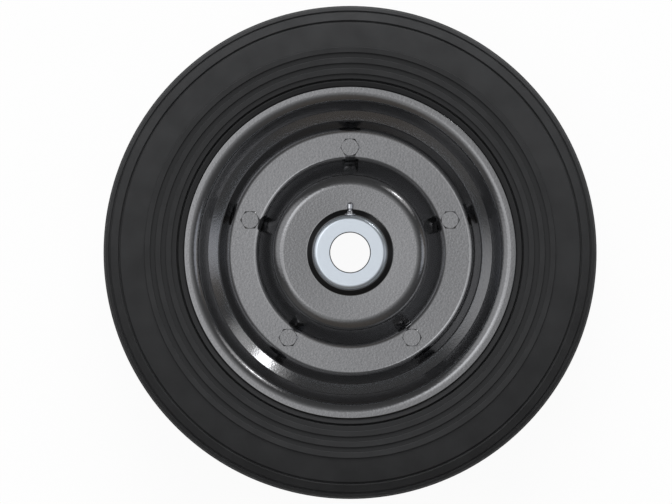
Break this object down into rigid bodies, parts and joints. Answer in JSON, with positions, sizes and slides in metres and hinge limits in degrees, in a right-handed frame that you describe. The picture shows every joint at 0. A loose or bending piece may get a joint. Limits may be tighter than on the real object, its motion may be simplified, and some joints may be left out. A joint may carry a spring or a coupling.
{
  "type": "solid rubber tyred wheel",
  "caption": "Wheel with a solid rubber tyre between two bolted pressed-steel rim halves, on a roller-bearing hub with a grease nipple.",
  "frame": {"origin": "centre of the wheel, on the axle's axis, midway between the two hub ends", "axes": "+Z along the axle towards the bolt heads; +Y from the axle towards the grease nipple"},
  "size_m": [0.375, 0.375, 0.1],
  "materials": {
    "tyre": "matt black moulded solid rubber",
    "rim_paint": "silver grey powder coat with a fine orange-peel texture",
    "hub_steel": "silver grey powder coat on a drawn steel tube",
    "cap_zinc": "bright zinc plate, bluish, on a turned face",
    "nipple_zinc": "bright zinc plate",
    "bearing_steel": "ground steel",
    "cage_plastic": "natural nylon"
  },
  "bodies": {
    "wheel": {"tyre": "tyre", "rim_front": "rim_paint", "rim_rear": "rim_paint", "hub_weld": "rim_paint", "wheel_bolts": "rim_paint", "wheel_nuts": "rim_paint", "lock_washers": "rim_paint", "hub_tube": "hub_steel", "end_cap_front": "cap_zinc", "end_cap_rear": "cap_zinc", "nipple_body": "nipple_zinc", "nipple_ball": "bearing_steel", "nipple_spring": "bearing_steel"},
    "cage": {"roller_cage": "cage_plastic"},
    "roller_01": {"roller_01": "bearing_steel"},
    "roller_02": {"roller_02": "bearing_steel"},
    "roller_03": {"roller_03": "bearing_steel"},
    "roller_04": {"roller_04": "bearing_steel"},
    "roller_05": {"roller_05": "bearing_steel"},
    "roller_06": {"roller_06": "bearing_steel"},
    "roller_07": {"roller_07": "bearing_steel"},
    "roller_08": {"roller_08": "bearing_steel"},
    "roller_09": {"roller_09": "bearing_steel"},
    "roller_10": {"roller_10": "bearing_steel"}
  },
  "joints": [
    {"name": "cage_spin", "type": "hinge", "parent": "wheel", "child": "cage", "pos_m": [0, 0, 0], "axis": [0, 0, 1], "continuous": true},
    {"name": "roller_01_spin", "type": "hinge", "parent": "cage", "child": "roller_01", "pos_m": [0, 0.01907, 0], "axis": [0, 0, 1], "continuous": true},
    {"name": "roller_02_spin", "type": "hinge", "parent": "cage", "child": "roller_02", "pos_m": [-0.01121, 0.01543, 0], "axis": [0, 0, 1], "continuous": true},
    {"name": "roller_03_spin", "type": "hinge", "parent": "cage", "child": "roller_03", "pos_m": [-0.01814, 0.00589, 0], "axis": [0, 0, 1], "continuous": true},
    {"name": "roller_04_spin", "type": "hinge", "parent": "cage", "child": "roller_04", "pos_m": [-0.01814, -0.00589, 0], "axis": [0, 0, 1], "continuous": true},
    {"name": "roller_05_spin", "type": "hinge", "parent": "cage", "child": "roller_05", "pos_m": [-0.01121, -0.01543, 0], "axis": [0, 0, 1], "continuous": true},
    {"name": "roller_06_spin", "type": "hinge", "parent": "cage", "child": "roller_06", "pos_m": [0, -0.01907, 0], "axis": [0, 0, 1], "continuous": true},
    {"name": "roller_07_spin", "type": "hinge", "parent": "cage", "child": "roller_07", "pos_m": [0.01121, -0.01543, 0], "axis": [0, 0, 1], "continuous": true},
    {"name": "roller_08_spin", "type": "hinge", "parent": "cage", "child": "roller_08", "pos_m": [0.01814, -0.00589, 0], "axis": [0, 0, 1], "continuous": true},
    {"name": "roller_09_spin", "type": "hinge", "parent": "cage", "child": "roller_09", "pos_m": [0.01814, 0.00589, 0], "axis": [0, 0, 1], "continuous": true},
    {"name": "roller_10_spin", "type": "hinge", "parent": "cage", "child": "roller_10", "pos_m": [0.01121, 0.01543, 0], "axis": [0, 0, 1], "continuous": true}
  ],
  "couplings": [
    {"joint": "roller_01_spin", "follows": "cage_spin", "ratio": -5.7675},
    {"joint": "roller_02_spin", "follows": "cage_spin", "ratio": -5.7675},
    {"joint": "roller_03_spin", "follows": "cage_spin", "ratio": -5.7675},
    {"joint": "roller_04_spin", "follows": "cage_spin", "ratio": -5.7675},
    {"joint": "roller_05_spin", "follows": "cage_spin", "ratio": -5.7675},
    {"joint": "roller_06_spin", "follows": "cage_spin", "ratio": -5.7675},
    {"joint": "roller_07_spin", "follows": "cage_spin", "ratio": -5.7675},
    {"joint": "roller_08_spin", "follows": "cage_spin", "ratio": -5.7675},
    {"joint": "roller_09_spin", "follows": "cage_spin", "ratio": -5.7675},
    {"joint": "roller_10_spin", "follows": "cage_spin", "ratio": -5.7675}
  ]
}
